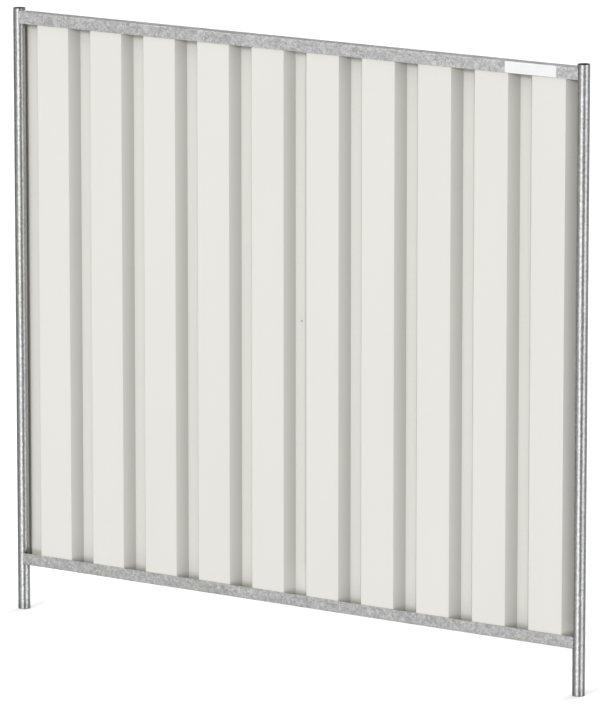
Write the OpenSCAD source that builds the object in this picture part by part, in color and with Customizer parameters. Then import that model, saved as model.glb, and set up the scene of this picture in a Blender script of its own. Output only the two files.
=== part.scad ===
// Temporary fence panel, closed with trapezoidal steel sheet.
// Two upright tubes carry two channel rails, and two sheets stand in the channels.
// Millimetres, +Z up. The origin is on the ground, midway between the tubes.
// The front faces -Y, and both tubes stand on the X axis.

/* [Uprights] */
// Overall height, from the foot of a leg to the open end of a tube
panel_h = 2000; // [1200:10:2600]
// Outside diameter of a tube
tube_d = 40; // [38:1:60]
// Wall of a tube
tube_wall = 2; // [1:0.1:4]
// Free length of a leg, below the bottom rail
leg_h = 152; // [60:1:300]
// Length of a tube above the top rail
tube_proud = 9.5; // [4:0.5:60]

/* [Rails] */
// Height of a rail
rail_h = 38.5; // [30:0.5:60]
// Wall of a rail
rail_wall = 1.5; // [1:0.1:2.5]
// Inside radius of a rail's two bends
rail_bend = 2; // [1:0.5:4]
// Gap between a rail's saddle-cut end and the tube
saddle_gap = 1.5; // [0.5:0.1:2]
// Radius of a weld bead
weld_r = 2.5; // [2:0.1:4]
// Diameter of a drain hole in the bottom rail
drain_d = 8; // [4:0.5:14]

/* [Sheets] */
// Crests on each sheet
crests = 5; // [2:1:8]
// Flat width of a crest
crest_w = 120; // [60:1:160]
// Flat width of a valley
valley_w = 37; // [24:1:80]
// Width that a flank takes up
flank_w = 25; // [12:1:40]
// Depth from the crests to the valleys
sheet_depth = 35; // [28:1:39]
// Thickness of the sheet
sheet_t = 0.75; // [0.5:0.05:1.25]
// Inside radius of a bend in the sheet
sheet_bend = 1.5; // [1:0.5:4]
// Room between the crests and a rail's front flange
crest_room = 1.25; // [0.5:0.05:3]
// Room between the left tube's side and the start of the sheets' pattern
left_room = 1; // [0.5:0.1:4]
// Room between the last flank and the right tube's side
right_room = 9; // [4:0.5:20]
// Clearance between a sheet's edge and a tube
edge_gap = 0.4; // [0.3:0.1:1]
// Room above the sheets, which lets them lift into the top rail
lift_room = 8; // [2:1:20]

/* [Rivets] */
// Shank diameter of a rivet
rivet_d = 4; // [3:0.2:5]
// Diameter of a rivet's head
rivet_head_d = 8; // [6:0.5:10]
// Height of a rivet's head
rivet_head_h = 1; // [0.6:0.1:1.6]
// Diameter of a rivet's set end
rivet_set_d = 5.6; // [5.2:0.1:7]
// Length of a rivet's set end
rivet_set_l = 2; // [1.5:0.1:4]
// Diameter of the pin left in a rivet
rivet_pin_d = 2.2; // [1.6:0.1:2.6]
// Valleys from one rail rivet to the next
rivet_step = 2; // [1:1:4]
// Clearance round a rivet's shank, and round its pin
rivet_gap = 0.1; // [0.05:0.05:0.3]
// Height of the lap rivet over the middle of the sheets
lap_rivet_rise = 12; // [0:1:400]
// Distance of the lap rivet from the middle of its valley
lap_rivet_side = 4; // [0:0.5:5]

/* [Plate] */
// Width of the blank plate on the top rail
plate_w = 185; // [100:1:300]
// Height of the plate
plate_h = 36; // [20:1:38]
// Thickness of the plate
plate_t = 1; // [0.5:0.1:2]
// Corner radius of the plate
plate_corner = 2; // [0.5:0.5:8]
// Distance from the right tube's axis to the plate
plate_inset = 86; // [40:1:400]

/* [Hidden] */

$fn = 64;
// Flat steps round a bend, and round a rivet's head
bend_steps = 4;
// How far a cut runs past the piece it cuts
overrun = 1;

galvanised = [0.70, 0.71, 0.72];
weld_grey = [0.62, 0.63, 0.64];
off_white = [0.90, 0.90, 0.87];
plate_white = [0.96, 0.96, 0.96];
rivet_grey = [0.78, 0.78, 0.76];

// Sheet pattern
pitch = crest_w + valley_w + 2 * flank_w;
pattern_w = 2 * crests * pitch;

// Frame
tube_r = tube_d / 2;
axis_x = (left_room + pattern_w + right_room) / 2 + tube_r;
rail_depth = sheet_depth + sheet_t + crest_room + 2 * rail_wall;
flange_y = rail_depth / 2;
flange_in_y = flange_y - rail_wall;
bottom_z = leg_h;
top_z = panel_h - tube_proud;
saddle_r = tube_r + saddle_gap;
// Share of the tube's radius that a rail's end keeps clear of the tube's axis
rail_end_share = 0.45;
rail_end_x = rail_end_share * tube_r;
rail_half_l = axis_x - rail_end_x;

// Welds, from the tube's axis: along the web's end, and in the corner at a flange's end
web_flat_y = flange_in_y - rail_bend;
web_seam_r = tube_r + saddle_gap / 2;
flange_seam_x = max(reach_x(saddle_r, flange_in_y), rail_end_x);

// Places of the sheets
valley_y = flange_in_y - sheet_t;
crest_y = valley_y - sheet_depth;
pattern_x = tube_r + left_room - axis_x;
sheet_bottom_z = bottom_z + rail_wall + rail_bend;
sheet_top_z = top_z - rail_wall - rail_bend - lift_room;
sheet_h = sheet_top_z - sheet_bottom_z;
lap_inset = sheet_bend + sheet_t;
lap_y = valley_y - sheet_t;
// The sheets' side edges stand behind the tubes, this far from a tube's axis
sheet_end_x = max(reach_x(tube_r + edge_gap, valley_y), flange_seam_x);

// Rivets
rivet_hole_d = rivet_d + 2 * rivet_gap;
rivet_bore_d = rivet_pin_d + 2 * rivet_gap;
lap_rivet_x = valley_x(crests) + lap_rivet_side;
lap_rivet_z = (sheet_bottom_z + sheet_top_z) / 2 + lap_rivet_rise;
top_rivet_z = top_z - rail_h / 2;
bottom_rivet_z = bottom_z + rail_h / 2;
rail_rivet_valleys = [for (j = [1 : rivet_step : 2 * crests - 1]) j];

// Half the width of a circle of radius r, at the distance y from its middle
function reach_x(r, y) = sqrt(max(r * r - y * y, 0));
function valley_x(j) = pattern_x + j * pitch + valley_w / 2;
function crest_x(j) = valley_x(j) + pitch / 2;
function sheets_at(j) = j == crests ? 2 : 1;

// A bent strip: a path of straight runs, with a round bend at each corner
function unit(v) = v / norm(v);
function left_of(d) = [-d[1], d[0]];
function turned(v, a) = [v[0] * cos(a) - v[1] * sin(a), v[0] * sin(a) + v[1] * cos(a)];
function turn(d, e) = atan2(d[0] * e[1] - d[1] * e[0], d[0] * e[0] + d[1] * e[1]);

// Points of one side of the bend at b. The side lies shift to the left of the path
function bend(a, b, c, shift, t, inner) =
    let (
        d = unit(b - a),
        angle = turn(d, unit(c - b)),
        side = sign(angle),
        path_r = side > 0 ? inner + t : inner,
        side_r = path_r - side * shift,
        start = b - d * path_r * tan(abs(angle) / 2),
        centre = start + side * path_r * left_of(d)
    )
    [for (k = [0 : bend_steps]) centre + turned(-side * side_r * left_of(d), angle * k / bend_steps)];

function strip_side(path, shift, t, inner) =
    let (
        last = len(path) - 1,
        first_d = unit(path[1] - path[0]),
        last_d = unit(path[last] - path[last - 1])
    )
    concat(
        [path[0] + shift * left_of(first_d)],
        [for (i = [1 : last - 1]) each bend(path[i - 1], path[i], path[i + 1], shift, t, inner)],
        [path[last] + shift * left_of(last_d)]
    );

function reversed(list) = [for (i = [len(list) - 1 : -1 : 0]) list[i]];

// The path is the right-hand side of the strip, seen along it
module bent_strip(path, t, inner) {
    polygon(concat(strip_side(path, 0, t, inner), reversed(strip_side(path, t, t, inner))));
}

// Front face of one crest, from its left flank's foot to its right flank's foot
function crest_path(j, left_y, right_y) =
    let (
        slope = flank_w / sheet_depth,
        left_x = crest_x(j) - crest_w / 2,
        right_x = crest_x(j) + crest_w / 2
    )
    [
        [left_x - slope * (left_y - crest_y), left_y],
        [left_x, crest_y],
        [right_x, crest_y],
        [right_x + slope * (right_y - crest_y), right_y]
    ];

left_path = concat(
    [[sheet_end_x - axis_x, valley_y]],
    [for (j = [0 : crests - 1]) each crest_path(j, valley_y, j == crests - 1 ? lap_y : valley_y)],
    [[valley_x(crests) + valley_w / 2 - lap_inset, lap_y]]
);
right_path = concat(
    [[valley_x(crests) - valley_w / 2 + lap_inset, valley_y]],
    [for (j = [crests : 2 * crests - 1]) each crest_path(j, valley_y, valley_y)],
    [[axis_x - sheet_end_x, valley_y]]
);

// Channel section in Y and Z, open below, with its web's outer face at z = 0
channel_path = [[flange_y, -rail_h], [flange_y, 0], [-flange_y, 0], [-flange_y, -rail_h]];

module upright(side) {
    color(galvanised)
        translate([side * axis_x, 0, 0])
            difference() {
                cylinder(d = tube_d, h = panel_h);
                translate([0, 0, -overrun])
                    cylinder(d = tube_d - 2 * tube_wall, h = panel_h + 2 * overrun);
            }
}

module along_y(x, y, z, turn_x) {
    translate([x, y, z])
        rotate([turn_x, 0, 0])
            children();
}

// Holes through a rail's rear flange and the sheets against it
module rail_rivet_holes(z, valleys) {
    for (j = valleys)
        along_y(valley_x(j), flange_y + overrun, z, 90)
            cylinder(d = rivet_hole_d, h = rail_wall + 2 * sheet_t + 2 * overrun);
}

module lap_rivet_hole() {
    along_y(lap_rivet_x, flange_in_y + overrun, lap_rivet_z, 90)
        cylinder(d = rivet_hole_d, h = 2 * sheet_t + 2 * overrun);
}

// A rail, web outwards, with its ends cut to saddle the tubes
module rail_blank() {
    difference() {
        translate([-rail_half_l, 0, 0])
            rotate([90, 0, 90])
                linear_extrude(2 * rail_half_l)
                    bent_strip(channel_path, rail_wall, rail_bend);
        for (side = [-1, 1])
            translate([side * axis_x, 0, -rail_h - overrun])
                cylinder(r = saddle_r, h = rail_h + 2 * overrun);
    }
}

module top_rail() {
    color(galvanised)
        difference() {
            translate([0, 0, top_z])
                rail_blank();
            rail_rivet_holes(top_rivet_z, rail_rivet_valleys);
        }
}

module bottom_rail() {
    color(galvanised)
        difference() {
            translate([0, 0, bottom_z])
                mirror([0, 0, 1])
                    rail_blank();
            rail_rivet_holes(bottom_rivet_z, rail_rivet_valleys);
            for (j = [0 : rivet_step : 2 * crests - 1])
                translate([crest_x(j), 0, bottom_z - overrun])
                    cylinder(d = drain_d, h = rail_wall + 2 * overrun);
        }
}

module sheet(path, valleys) {
    color(off_white)
        difference() {
            translate([0, 0, sheet_bottom_z])
                linear_extrude(sheet_h)
                    bent_strip(path, sheet_t, sheet_bend);
            rail_rivet_holes(top_rivet_z, valleys);
            rail_rivet_holes(bottom_rivet_z, valleys);
            lap_rivet_hole();
        }
}

module left_sheet() {
    sheet(left_path, [for (j = rail_rivet_valleys) if (j <= crests) j]);
}

module right_sheet() {
    sheet(right_path, [for (j = rail_rivet_valleys) if (j >= crests) j]);
}

module name_plate() {
    flat_w = plate_w - 2 * plate_corner;
    flat_h = plate_h - 2 * plate_corner;
    color(plate_white)
        along_y(axis_x - plate_inset - plate_w / 2, -flange_y, top_z - rail_h / 2, 90)
            linear_extrude(plate_t) {
                square([plate_w, flat_h], center = true);
                square([flat_w, plate_h], center = true);
                for (x = [-1, 1], z = [-1, 1])
                    translate([x * flat_w / 2, z * flat_h / 2])
                        circle(r = plate_corner);
            }
}

// A set blind rivet along Z. Its head stands on z = 0 and its shank points down
module rivet(grip) {
    head_r = rivet_head_d / 2;
    bore_r = rivet_bore_d / 2;
    set_r = rivet_set_d / 2;
    set_chamfer = (rivet_set_d - rivet_d) / 2;
    set_end = -grip - rivet_set_l;
    head = [for (k = [0 : bend_steps])
        let (a = 90 * k / bend_steps)
        [bore_r + (head_r - bore_r) * cos(a), rivet_head_h * sin(a)]
    ];
    rotate_extrude()
        polygon(concat(
            [
                [bore_r, set_end],
                [set_r - set_chamfer, set_end],
                [set_r, set_end + set_chamfer],
                [set_r, -grip],
                [rivet_d / 2, -grip],
                [rivet_d / 2, 0]
            ],
            head
        ));
}

// The pin that stays in a set rivet, with its ball end under the set end
module rivet_pin(grip) {
    set_end = -grip - rivet_set_l;
    ball_r = rivet_d / 2 - rivet_gap;
    translate([0, 0, set_end])
        cylinder(d = rivet_pin_d, h = grip + rivet_set_l + rivet_head_h / 2);
    rotate_extrude()
        polygon(concat(
            [[0, set_end]],
            [for (k = [0 : bend_steps])
                let (a = 90 * k / bend_steps)
                [ball_r * cos(a), set_end - ball_r / 2 * sin(a)]
            ]
        ));
}

module at_lap_rivet() {
    along_y(lap_rivet_x, lap_y, lap_rivet_z, 90)
        children();
}

module at_rail_rivet(j, z) {
    along_y(valley_x(j), flange_y, z, -90)
        children();
}

function rail_grip(j) = rail_wall + sheets_at(j) * sheet_t;

module rail_rivets(z) {
    color(rivet_grey)
        for (j = rail_rivet_valleys)
            at_rail_rivet(j, z)
                rivet(rail_grip(j));
}

module top_rail_rivets() {
    rail_rivets(top_rivet_z);
}

module bottom_rail_rivets() {
    rail_rivets(bottom_rivet_z);
}

module lap_rivet() {
    color(rivet_grey)
        at_lap_rivet()
            rivet(2 * sheet_t);
}

module rivet_pins() {
    color(weld_grey) {
        at_lap_rivet()
            rivet_pin(2 * sheet_t);
        for (j = rail_rivet_valleys, z = [top_rivet_z, bottom_rivet_z])
            at_rail_rivet(j, z)
                rivet_pin(rail_grip(j));
    }
}

// The weld at a rail's end, at the left tube, with the rail's web outwards at z = 0
module flange_bead() {
    translate([0, 0, -rail_h])
        linear_extrude(rail_h - rail_wall - rail_bend)
            difference() {
                children();
                circle(r = tube_r);
            }
}

// The front flange is welded on its inside, so that its face stays clean
module front_bead() {
    flange_bead()
        intersection() {
            translate([flange_seam_x, -flange_in_y])
                circle(r = weld_r);
            square([2 * axis_x, 2 * flange_in_y], center = true);
        }
}

// The rear flange is welded round its end, clear of the sheet's edge
module rear_bead() {
    flange_bead()
        difference() {
            intersection() {
                translate([flange_seam_x, flange_in_y])
                    circle(r = weld_r);
                square([2 * axis_x, 2 * flange_y], center = true);
            }
            translate([sheet_end_x - edge_gap, 0])
                square([axis_x, flange_in_y]);
            difference() {
                translate([rail_end_x, flange_in_y])
                    square([axis_x, rail_wall]);
                circle(r = saddle_r);
            }
        }
}

// The web is welded on its outside, along its flat
module web_bead() {
    end_a = asin(web_flat_y / web_seam_r);
    rotate([0, 0, -end_a])
        rotate_extrude(angle = 2 * end_a)
            difference() {
                translate([web_seam_r, -rail_wall / 2])
                    circle(r = weld_r);
                translate([0, -rail_h])
                    square([tube_r, 2 * rail_h]);
                translate([0, -rail_wall - rail_h])
                    square([axis_x, rail_h]);
                translate([saddle_r, -rail_wall])
                    square([axis_x, rail_wall]);
            }
}

module weld() {
    color(weld_grey)
        translate([-axis_x, 0, 0]) {
            front_bead();
            rear_bead();
            web_bead();
        }
}

module top_left_weld() {
    translate([0, 0, top_z])
        weld();
}

module top_right_weld() {
    mirror([1, 0, 0])
        top_left_weld();
}

module bottom_left_weld() {
    translate([0, 0, bottom_z])
        mirror([0, 0, 1])
            weld();
}

module bottom_right_weld() {
    mirror([1, 0, 0])
        bottom_left_weld();
}

module left_upright() {
    upright(-1);
}

module right_upright() {
    upright(1);
}

left_upright();
right_upright();
top_rail();
bottom_rail();
left_sheet();
right_sheet();
name_plate();
lap_rivet();
top_rail_rivets();
bottom_rail_rivets();
rivet_pins();
top_left_weld();
top_right_weld();
bottom_left_weld();
bottom_right_weld();
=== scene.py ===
"""Looks of the closed temporary fence panel: galvanised frame, coil-coated sheets, blank plate.

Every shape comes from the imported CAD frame. This script adds the materials, the floor, the light
and the camera. Metres, in the frame's own axes: +X along the panel, +Y to its back, +Z up.
"""

import math

import bpy
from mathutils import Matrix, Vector


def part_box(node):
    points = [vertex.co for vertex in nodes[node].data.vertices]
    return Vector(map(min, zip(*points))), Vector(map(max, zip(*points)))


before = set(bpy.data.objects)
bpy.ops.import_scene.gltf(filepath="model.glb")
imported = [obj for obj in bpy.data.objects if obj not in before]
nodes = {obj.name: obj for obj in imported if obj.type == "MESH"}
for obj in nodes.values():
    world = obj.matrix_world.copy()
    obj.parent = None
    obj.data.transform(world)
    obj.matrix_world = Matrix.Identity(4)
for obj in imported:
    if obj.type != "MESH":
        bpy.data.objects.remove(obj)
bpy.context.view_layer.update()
scene = bpy.context.scene


# Node helpers

# The Mix node's colour sockets by place, because its number and vector sockets have the same names
MIX_FACTOR, MIX_A, MIX_B, MIX_RESULT = 0, 6, 7, 2
OPENNESS_SAMPLES = 12


class Tree:
    """A short way to add nodes to a node tree and to link them."""

    def __init__(self, tree):
        self.tree = tree
        self.tree.nodes.clear()

    def put(self, value, socket):
        """Links an output to the socket, or sets a plain value on it."""
        if isinstance(value, bpy.types.NodeSocket):
            self.tree.links.new(value, socket)
        else:
            socket.default_value = value

    def add(self, kind, inputs=None, **settings):
        node = self.tree.nodes.new(kind)
        for name, value in settings.items():
            setattr(node, name, value)
        for name, value in (inputs or {}).items():
            self.put(value, node.inputs[name])
        return node

    def math(self, operation, *values):
        node = self.add("ShaderNodeMath", operation=operation)
        for value, socket in zip(values, node.inputs):
            self.put(value, socket)
        return node.outputs[0]

    def weighed(self, *parts):
        """The sum of some values, each times its weight. A part is (value, weight)."""
        terms = [self.math("MULTIPLY", value, weight) for value, weight in parts]
        total = terms[0]
        for term in terms[1:]:
            total = self.math("ADD", total, term)
        return total

    def ramp(self, factor, stops, interpolation="LINEAR"):
        """A colour ramp. A stop is (place, grey) or (place, (r, g, b))."""
        node = self.add("ShaderNodeValToRGB", {"Fac": factor})
        node.color_ramp.interpolation = interpolation
        elements = node.color_ramp.elements
        while len(elements) < len(stops):
            elements.new(0.5)
        for element, (place, colour) in zip(elements, stops):
            rgb = colour if isinstance(colour, tuple) else (colour,) * 3
            element.position = place
            element.color = (*rgb, 1.0)
        return node.outputs["Color"]

    def span(self, value, low, high, to_low, to_high):
        """The value, with low to high turned into to_low to to_high, and held at those ends."""
        node = self.add("ShaderNodeMapRange", {
            "Value": value, "From Min": low, "From Max": high, "To Min": to_low, "To Max": to_high,
        })
        return node.outputs["Result"]

    def mix(self, factor, a, b, blend="MIX"):
        """Colour a at factor 0, and b blended with it at factor 1."""
        node = self.add("ShaderNodeMix", data_type="RGBA", blend_type=blend)
        for value, place in ((factor, MIX_FACTOR), (a, MIX_A), (b, MIX_B)):
            self.put((*value, 1.0) if isinstance(value, tuple) else value, node.inputs[place])
        return node.outputs[MIX_RESULT]

    def times(self, a, b):
        return self.mix(1.0, a, b, blend="MULTIPLY")

    def place(self, scale=(1.0, 1.0, 1.0)):
        """The point in the frame's own metres, stretched by scale."""
        point = self.add("ShaderNodeTexCoord").outputs["Object"]
        return self.add("ShaderNodeMapping", {"Vector": point, "Scale": scale}).outputs["Vector"]

    def axes(self, vector):
        return self.add("ShaderNodeSeparateXYZ", {"Vector": vector}).outputs

    def noise(self, vector, per_m, detail, roughness=0.5):
        """Noise with about per_m lumps in each metre of the vector."""
        node = self.add("ShaderNodeTexNoise", {
            "Vector": vector, "Scale": per_m, "Detail": detail, "Roughness": roughness,
        })
        return node.outputs

    def cells(self, vector, size):
        """Red, Green and Blue, each random from one crystal to the next."""
        cell = self.add("ShaderNodeTexVoronoi", {"Vector": vector, "Scale": 1.0 / size})
        return self.add("ShaderNodeSeparateColor", {"Color": cell.outputs["Color"]}).outputs

    def openness(self, distance, own=False):
        """1 in the open, and less where pieces within the distance close in. own counts no other piece."""
        node = self.add("ShaderNodeAmbientOcclusion", {"Distance": distance},
                        samples=OPENNESS_SAMPLES, only_local=own)
        return node.outputs["AO"]

    def bump(self, height, distance, strength, over=None):
        """A bumpy normal, on top of the normal that over gives."""
        inputs = {"Height": height, "Distance": distance, "Strength": strength}
        if over is not None:
            inputs["Normal"] = over
        return self.add("ShaderNodeBump", inputs).outputs["Normal"]


def material(name, shown):
    """A new node material with its tree and the inputs of its shader. shown is its viewport colour."""
    made = bpy.data.materials.new(name)
    made.use_nodes = True
    made.diffuse_color = (*shown, 1.0)
    tree = Tree(made.node_tree)
    shader = tree.add("ShaderNodeBsdfPrincipled")
    tree.add("ShaderNodeOutputMaterial", {"Surface": shader.outputs["BSDF"]})
    return made, tree, shader.inputs


# Materials

def rail_spangle():
    """Hot-dip zinc: crystals of different brightness, fine grain, and painted shade that darkens faces
    that look up.
    """
    light, dark = (0.74, 0.74, 0.738), (0.39, 0.39, 0.39)
    middle = tuple((a + b) / 2 for a, b in zip(dark, light))
    crystal_size = 0.007
    fleck_size = crystal_size / 2.6
    least_roughness = 0.46
    made, t, shader = material("rail_zinc", light)
    point = t.place()
    bent = t.mix(0.035, point, t.noise(point, per_m=60.0, detail=2.0)["Color"], blend="ADD")
    crystal = t.cells(bent, crystal_size)
    fleck = t.cells(bent, fleck_size)
    cloud = t.noise(point, per_m=9.0, detail=3.0)["Fac"]
    grain = t.noise(point, per_m=420.0, detail=3.0)["Fac"]
    tone = t.weighed((crystal["Red"], 0.52), (fleck["Red"], 0.42), (cloud, 0.12),
                     (t.math("SUBTRACT", grain, 0.5), 0.25))
    colour = t.ramp(tone, [(0.15, dark), (0.55, middle), (0.9, light)])
    tint = t.ramp(crystal["Green"], [(0.0, (0.99, 0.985, 1.005)), (0.5, 1.0), (1.0, (1.01, 1.0, 0.995))])
    upward = t.axes(t.add("ShaderNodeNewGeometry").outputs["Normal"])["Z"]
    # Painted shade: the colour is darker on faces that look up
    painted_top_shade = t.ramp(upward, [(0.3, 1.0), (0.9, 0.7)])
    t.put(t.times(t.times(colour, tint), painted_top_shade), shader["Base Color"])
    rough = t.weighed((crystal["Blue"], 0.16), (fleck["Green"], 0.08))
    t.put(t.math("ADD", rough, least_roughness), shader["Roughness"])
    tilt = t.weighed((crystal["Green"], 0.6), (cloud, 1.0))
    skin = t.bump(tilt, distance=0.0004, strength=0.25)
    t.put(t.bump(grain, distance=0.0002, strength=0.2, over=skin), shader["Normal"])
    shader["Metallic"].default_value = 1.0
    return made


def tube_zinc():
    """Galvanised tube: bright, streaked along its length, mottled, with painted shade in the corners."""
    dark, middle, light = (0.47, 0.47, 0.472), (0.61, 0.61, 0.612), (0.75, 0.75, 0.751)
    streaks_per_m = (260.0, 260.0, 5.0)
    ripples_per_m = (130.0, 130.0, 125.0)
    made, t, shader = material("tube_zinc", middle)
    point = t.place()
    streak = t.noise(t.place(streaks_per_m), per_m=1.0, detail=3.0)["Fac"]
    blotch = t.noise(point, per_m=125.0, detail=3.0, roughness=0.6)["Fac"]
    grain = t.noise(point, per_m=380.0, detail=2.0)["Fac"]
    ripple = t.noise(t.place(ripples_per_m), per_m=1.0, detail=3.0)["Fac"]
    tone = t.weighed((streak, 0.45), (blotch, 0.55))
    colour = t.ramp(tone, [(0.35, dark), (0.5, middle), (0.65, light)])
    # Painted shade: the colour darkens where other pieces close in round the tube
    painted_corner_shade = t.ramp(t.openness(0.06), [(0.4, 0.55), (0.85, 1.0)])
    t.put(t.times(colour, painted_corner_shade), shader["Base Color"])
    t.put(t.span(tone, 0.25, 0.75, 0.15, 0.25), shader["Roughness"])
    skin = t.bump(ripple, distance=0.0009, strength=0.85)
    t.put(t.bump(grain, distance=0.0001, strength=0.15, over=skin), shader["Normal"])
    shader["Metallic"].default_value = 1.0
    return made


def sheet_coat():
    """Coil coating on thin sheet: satin, finely textured, with painted shade in its folds.

    The painted shade is weaker beside the tubes and next to the rails, where those pieces shade the sheet
    already. There it follows more of the sheet's own folds and less of the pieces round it.
    """
    dark, middle, light = (0.775, 0.765, 0.722), (0.79, 0.781, 0.739), (0.803, 0.795, 0.755)
    clouds_per_m = (3.0, 3.0, 0.8)
    dents_per_m = (5.0, 5.0, 1.6)
    fold_reach = 0.09
    foot_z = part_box("bottom_rail")[1][2]
    head_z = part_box("top_rail")[0][2]
    tube_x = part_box("right_upright")[0][0]
    rail_strip = 0.11
    tube_strip = 0.04
    fade = 0.01
    made, t, shader = material("sheet_coat", (0.8, 0.79, 0.75))
    point = t.place()
    cloud = t.noise(t.place(clouds_per_m), per_m=1.0, detail=2.0)["Fac"]
    speck = t.noise(point, per_m=160.0, detail=4.0, roughness=0.65)["Fac"]
    grain = t.noise(point, per_m=900.0, detail=2.0)["Fac"]
    dent = t.noise(t.place(dents_per_m), per_m=1.0, detail=1.0)["Fac"]
    tone = t.weighed((cloud, 0.7), (speck, 0.3))
    colour = t.ramp(tone, [(0.3, dark), (0.5, middle), (0.7, light)])

    axis = t.axes(point)
    # Painted shade is weaker in these strips beside the tubes and rails
    end_x = tube_x - tube_strip
    by_tube = t.span(t.math("ABSOLUTE", axis["X"]), end_x - fade, end_x, 0.0, 0.5)
    over_foot = t.span(axis["Z"], foot_z - fade, foot_z + rail_strip, 0.0, 1.0)
    by_foot = t.ramp(over_foot, [(0.0, 0.1), (0.2, 0.85), (1.0, 0.0)])
    by_head = t.span(axis["Z"], head_z - rail_strip, head_z, 0.0, 0.65)
    own_folds_share = t.math("MAXIMUM", by_tube, t.math("MAXIMUM", by_foot, by_head))
    # Painted shade: the sheet's colour darkens where its folds and the pieces round it close in
    fold = t.mix(own_folds_share, t.openness(fold_reach), t.openness(fold_reach, own=True))
    painted_fold_shade = t.ramp(fold, [
        (0.25, (0.42, 0.42, 0.415)), (0.61, (0.725, 0.725, 0.72)), (0.78, (0.85, 0.85, 0.845)),
        (0.84, (0.945, 0.945, 0.94)), (0.97, 1.0),
    ])
    t.put(t.times(colour, painted_fold_shade), shader["Base Color"])
    t.put(t.span(speck, 0.3, 0.7, 0.42, 0.5), shader["Roughness"])
    flat = t.bump(dent, distance=0.004, strength=0.25)
    t.put(t.bump(grain, distance=0.00005, strength=0.2, over=flat), shader["Normal"])
    shader["Specular IOR Level"].default_value = 0.35
    return made


def plate_plastic():
    """Plain white plate: smooth plastic with a very fine grain."""
    made, t, shader = material("plate_white", (0.9, 0.9, 0.9))
    point = t.place()
    cloud = t.noise(point, per_m=25.0, detail=2.0)["Fac"]
    grain = t.noise(point, per_m=700.0, detail=2.0)["Fac"]
    t.put(t.ramp(cloud, [(0.3, (0.885, 0.89, 0.895)), (0.7, (0.915, 0.918, 0.92))]), shader["Base Color"])
    t.put(t.span(grain, 0.3, 0.7, 0.32, 0.42), shader["Roughness"])
    t.put(t.bump(grain, distance=0.00004, strength=0.3), shader["Normal"])
    return made


def grainy_metal(name, light, dark, grains_per_m, roughness, rise):
    """A plain metal with fine grain. roughness is (in the dark grain, in the light grain)."""
    made, t, shader = material(name, light)
    grain = t.noise(t.place(), grains_per_m, detail=4.0, roughness=0.6)["Fac"]
    t.put(t.ramp(grain, [(0.3, dark), (0.7, light)]), shader["Base Color"])
    t.put(t.span(grain, 0.3, 0.7, *roughness), shader["Roughness"])
    t.put(t.bump(grain, distance=rise, strength=0.4), shader["Normal"])
    shader["Metallic"].default_value = 1.0
    return made


def rivet_aluminium():
    return grainy_metal("rivet_aluminium", light=(0.6, 0.6, 0.59), dark=(0.44, 0.44, 0.43),
                        grains_per_m=1500.0, roughness=(0.3, 0.42), rise=0.00005)


def pin_steel():
    return grainy_metal("pin_steel", light=(0.36, 0.36, 0.35), dark=(0.24, 0.24, 0.24),
                        grains_per_m=1500.0, roughness=(0.35, 0.5), rise=0.00005)


def weld_zinc():
    return grainy_metal("weld_zinc", light=(0.6, 0.605, 0.61), dark=(0.45, 0.455, 0.46),
                        grains_per_m=420.0, roughness=(0.4, 0.55), rise=0.0004)


FINISHES = [
    (tube_zinc, ["left_upright", "right_upright"]),
    (rail_spangle, ["top_rail", "bottom_rail"]),
    (sheet_coat, ["left_sheet", "right_sheet"]),
    (plate_plastic, ["name_plate"]),
    (rivet_aluminium, ["lap_rivet", "top_rail_rivets", "bottom_rail_rivets"]),
    (pin_steel, ["rivet_pins"]),
    (weld_zinc, ["top_left_weld", "top_right_weld", "bottom_left_weld", "bottom_right_weld"]),
]
for make, names in FINISHES:
    made = make()
    for name in names:
        slots = nodes[name].data.materials
        slots.clear()
        slots.append(made)


# Floor

def make_floor(half, drop):
    """A pale matt square of side twice half, just under the panel's feet."""
    mesh = bpy.data.meshes.new("floor")
    corners = [(-half, -half, 0), (half, -half, 0), (half, half, 0), (-half, half, 0)]
    mesh.from_pydata(corners, [], [(0, 1, 2, 3)])
    floor = bpy.data.objects.new("floor", mesh)
    floor.location.z = -drop
    scene.collection.objects.link(floor)
    made, t, shader = material("floor_pale", (0.935, 0.935, 0.935))
    speck = t.noise(t.place(), per_m=40.0, detail=2.0)["Fac"]
    t.put(t.ramp(speck, [(0.3, 0.93), (0.7, 0.94)]), shader["Base Color"])
    shader["Roughness"].default_value = 1.0
    shader["Specular IOR Level"].default_value = 0.0
    mesh.materials.append(made)
    # The tubes mirror the studio's panels, not the floor, and the floor's light stays off the sheets
    floor.visible_diffuse = False
    floor.visible_glossy = False


make_floor(half=40.0, drop=0.0005)


# Light: a pale studio, with a belt of bright panels low in it, a soft ceiling and one key lamp

# Brightness by azimuth in degrees: 0 is the front, 90 the right
PANELS = [
    (-180, 0.55), (-147, 0.5), (-110, 0.24), (-81, 0.2), (-62, 0.3), (-45, 0.45), (-27, 0.48),
    (-14, 1.12), (0, 1.85), (13, 1.38), (27, 0.5), (42, 0.26), (60, 0.4), (78, 1.25), (90, 1.5),
    (106, 0.7), (130, 0.28), (155, 0.42), (180, 0.55),
]
ROOM = [
    (-180, 3.2), (-165, 1.1), (-147, 0.15), (-110, 0.2), (-70, 0.45), (-20, 0.5), (10, 0.45),
    (35, 0.2), (60, 0.12), (100, 0.15), (125, 0.2), (145, 0.6), (165, 2.6), (180, 3.2),
]
CEILING = 5.0
# The most light from below the belt, so that no tube turns white when it is seen from above
GROUND = 1.5
# Sines of the elevations between which the belt fades in and out, and the ceiling starts
BELT_LOW, BELT_HIGH, CEILING_EDGE = (-0.55, -0.4), (0.0, 0.2), (0.9, 0.97)


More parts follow.
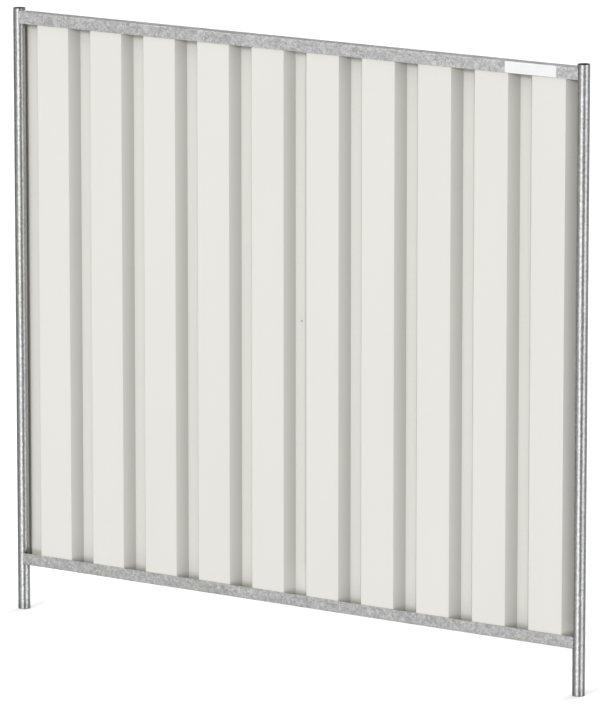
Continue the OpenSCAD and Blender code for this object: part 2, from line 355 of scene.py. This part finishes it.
def make_world():
    world = bpy.data.worlds.new("studio")
    world.use_nodes = True
    world.cycles.sampling_method = "NONE"
    scene.world = world
    t = Tree(world.node_tree)
    axis = t.axes(t.add("ShaderNodeTexCoord").outputs["Generated"])
    azimuth = t.math("ARCTAN2", axis["X"], t.math("MULTIPLY", axis["Y"], -1.0))
    turn = t.span(azimuth, -math.pi, math.pi, 0.0, 1.0)

    def around(levels):
        return t.ramp(turn, [((a + 180) / 360, level / CEILING) for a, level in levels], "EASE")

    above_low = t.span(axis["Z"], *BELT_LOW, 0.0, 1.0)
    below_high = t.span(axis["Z"], *BELT_HIGH, 1.0, 0.0)
    overhead = t.span(axis["Z"], *CEILING_EDGE, 0.0, 1.0)
    room = around(ROOM)
    ground = t.math("MINIMUM", room, GROUND / CEILING)
    low = t.mix(above_low, ground, around(PANELS))
    walls = t.mix(below_high, room, low)
    light = t.mix(overhead, walls, (1.0, 1.0, 1.0))
    background = t.add("ShaderNodeBackground", {"Color": light, "Strength": CEILING})
    t.add("ShaderNodeOutputWorld", {"Surface": background.outputs["Background"]})


make_world()


def away(azimuth, elevation):
    """A unit vector from the panel. Degrees: azimuth 0 is the front, 90 the right."""
    a, e = math.radians(azimuth), math.radians(elevation)
    return Vector((math.sin(a) * math.cos(e), -math.cos(a) * math.cos(e), math.sin(e)))


def area_lamp(name, azimuth, elevation, distance, size, power, target):
    """A round lamp that faces the target from a distance."""
    data = bpy.data.lights.new(name, "AREA")
    data.shape = "DISK"
    data.size = size
    data.energy = power
    lamp = bpy.data.objects.new(name, data)
    out = away(azimuth, elevation)
    lamp.location = Vector(target) + out * distance
    lamp.rotation_euler = (-out).to_track_quat("-Z", "Y").to_euler()
    scene.collection.objects.link(lamp)


area_lamp("key_lamp", azimuth=-4.0, elevation=24.0, distance=36.0, size=12.6, power=6577.0,
          target=(0.0, 0.0, 1.0))


# Camera, at the photograph's viewing angle. The image is taken as 600 by 706 pixels.

IMAGE_LONG_SIDE = 706
FOCAL_PIXELS = 6664.72
AZIMUTH, ELEVATION, DISTANCE = 32.84, 11.62, 21.2218
AIM = Vector((0.02235, 0.0, 0.97857))

camera_data = bpy.data.cameras.new("camera")
camera_data.sensor_width = 36.0
camera_data.lens = FOCAL_PIXELS * camera_data.sensor_width / IMAGE_LONG_SIDE
camera_data.clip_start = 0.5
camera_data.clip_end = 200.0
camera = bpy.data.objects.new("camera", camera_data)
to_camera = away(AZIMUTH, ELEVATION)
camera.location = AIM + to_camera * DISTANCE
camera.rotation_mode = "QUATERNION"
camera.rotation_quaternion = (-to_camera).to_track_quat("-Z", "Y")
scene.collection.objects.link(camera)
scene.camera = camera

scene.view_settings.view_transform = "Standard"
